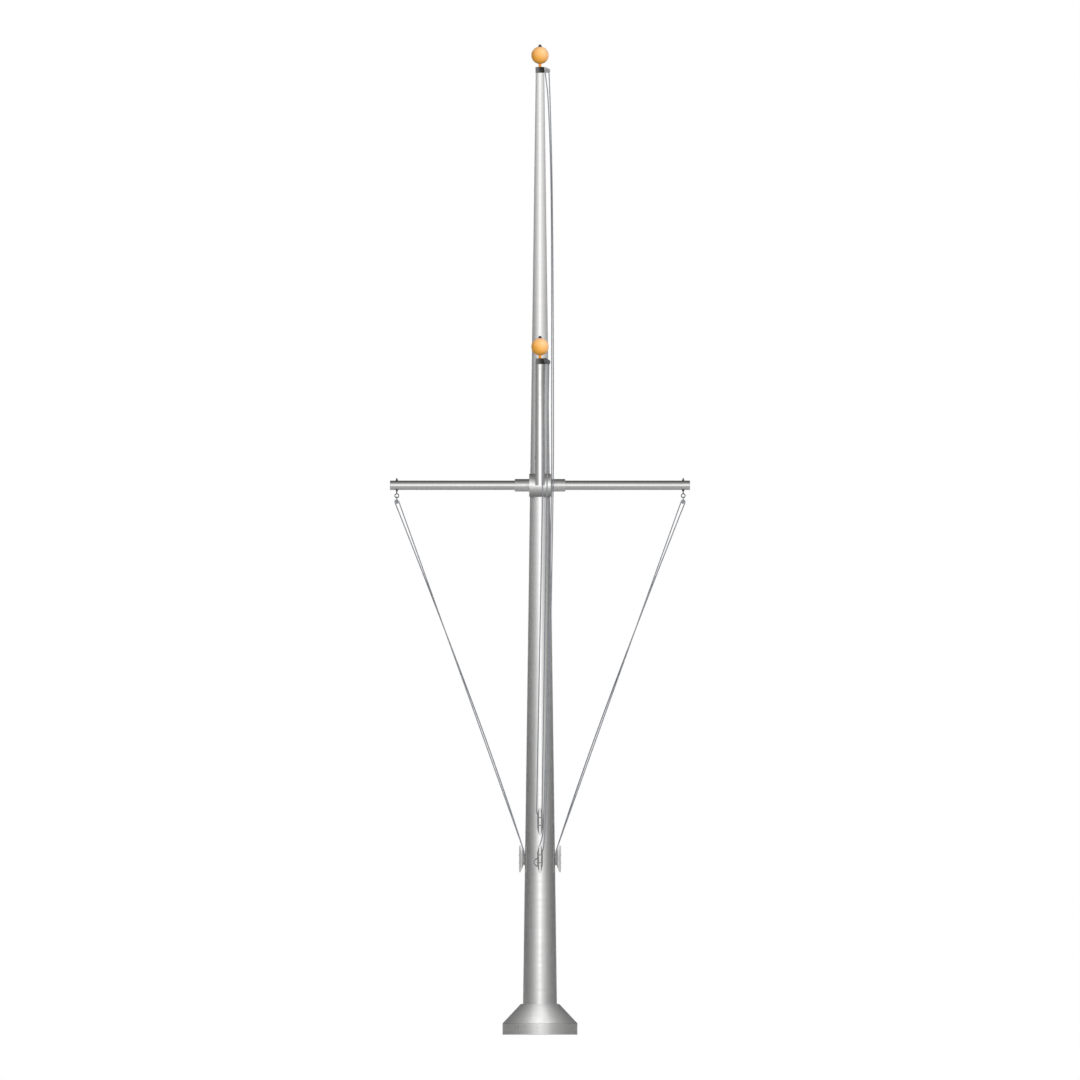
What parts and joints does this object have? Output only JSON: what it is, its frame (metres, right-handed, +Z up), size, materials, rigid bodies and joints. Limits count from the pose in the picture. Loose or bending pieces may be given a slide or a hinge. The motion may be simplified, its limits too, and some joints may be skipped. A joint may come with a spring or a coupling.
{
  "type": "flagpole",
  "caption": "Tapered aluminium nautical flagpole with yard, gaff, gold ball finials, trucks, halyards on cleats and a ground collar.",
  "frame": {"origin": "on the pole's axis at the ground, the middle of the base plate's underside", "axes": "+Z up the pole, +X along the yard to starboard, the gaff rises towards -Y"},
  "size_m": [2.55, 1.5524, 8.417],
  "materials": {
    "satin_aluminium": "satin brushed along the tube",
    "cast_aluminium": "smooth cast",
    "cast_truck": "dull grey cast",
    "steel": "plain stainless",
    "sheave": "dark moulded",
    "gold": "gold anodised, soft gloss",
    "rope": "braided, flecked blue-grey and beige"
  },
  "bodies": {
    "mast": {"base_plate": "steel", "flash_collar": "satin_aluminium", "pole_shaft": "satin_aluminium", "main_truck": "cast_truck", "main_sheave_pin": "steel", "main_spindle": "gold", "main_ball_lower": "gold", "main_ball_upper": "gold", "main_cap_nut": "cast_truck", "cross_fitting": "cast_aluminium", "port_yard_arm": "satin_aluminium", "starboard_yard_arm": "satin_aluminium", "port_yard_cap": "satin_aluminium", "starboard_yard_cap": "satin_aluminium", "port_eyebolt": "steel", "starboard_eyebolt": "steel", "eyebolt_nuts": "steel", "port_shackle": "steel", "starboard_shackle": "steel", "port_sheave_pin": "steel", "starboard_sheave_pin": "steel", "gaff_spigot": "cast_aluminium", "gaff_arm": "satin_aluminium", "gaff_set_screw": "steel", "gaff_truck": "cast_truck", "gaff_sheave_pin": "steel", "gaff_spindle": "gold", "gaff_ball_lower": "gold", "gaff_ball_upper": "gold", "gaff_cap_nut": "cast_truck", "port_cleat": "cast_aluminium", "starboard_cleat": "cast_aluminium", "upper_cleat": "cast_aluminium", "lower_cleat": "cast_aluminium", "cleat_spacers": "cast_aluminium", "cleat_screws": "steel", "port_halyard": "rope", "starboard_halyard": "rope", "gaff_halyard": "rope", "main_halyard": "rope"},
    "main_wheel": {"main_sheave": "sheave"},
    "gaff_wheel": {"gaff_sheave": "sheave"},
    "port_wheel": {"port_sheave": "sheave"},
    "starboard_wheel": {"starboard_sheave": "sheave"}
  },
  "joints": [
    {"name": "main_sheave_turn", "type": "hinge", "parent": "mast", "child": "main_wheel", "pos_m": [0.059, 0, 8.193], "axis": [0, 1, 0], "continuous": true},
    {"name": "gaff_sheave_turn", "type": "hinge", "parent": "mast", "child": "gaff_wheel", "pos_m": [0.059, -1.16, 5.716], "axis": [0, 0.9659, 0.2588], "continuous": true},
    {"name": "port_sheave_turn", "type": "hinge", "parent": "mast", "child": "port_wheel", "pos_m": [-1.217, 0, 4.529], "axis": [0, 1, 0], "continuous": true},
    {"name": "starboard_sheave_turn", "type": "hinge", "parent": "mast", "child": "starboard_wheel", "pos_m": [1.217, 0, 4.529], "axis": [0, 1, 0], "continuous": true}
  ]
}
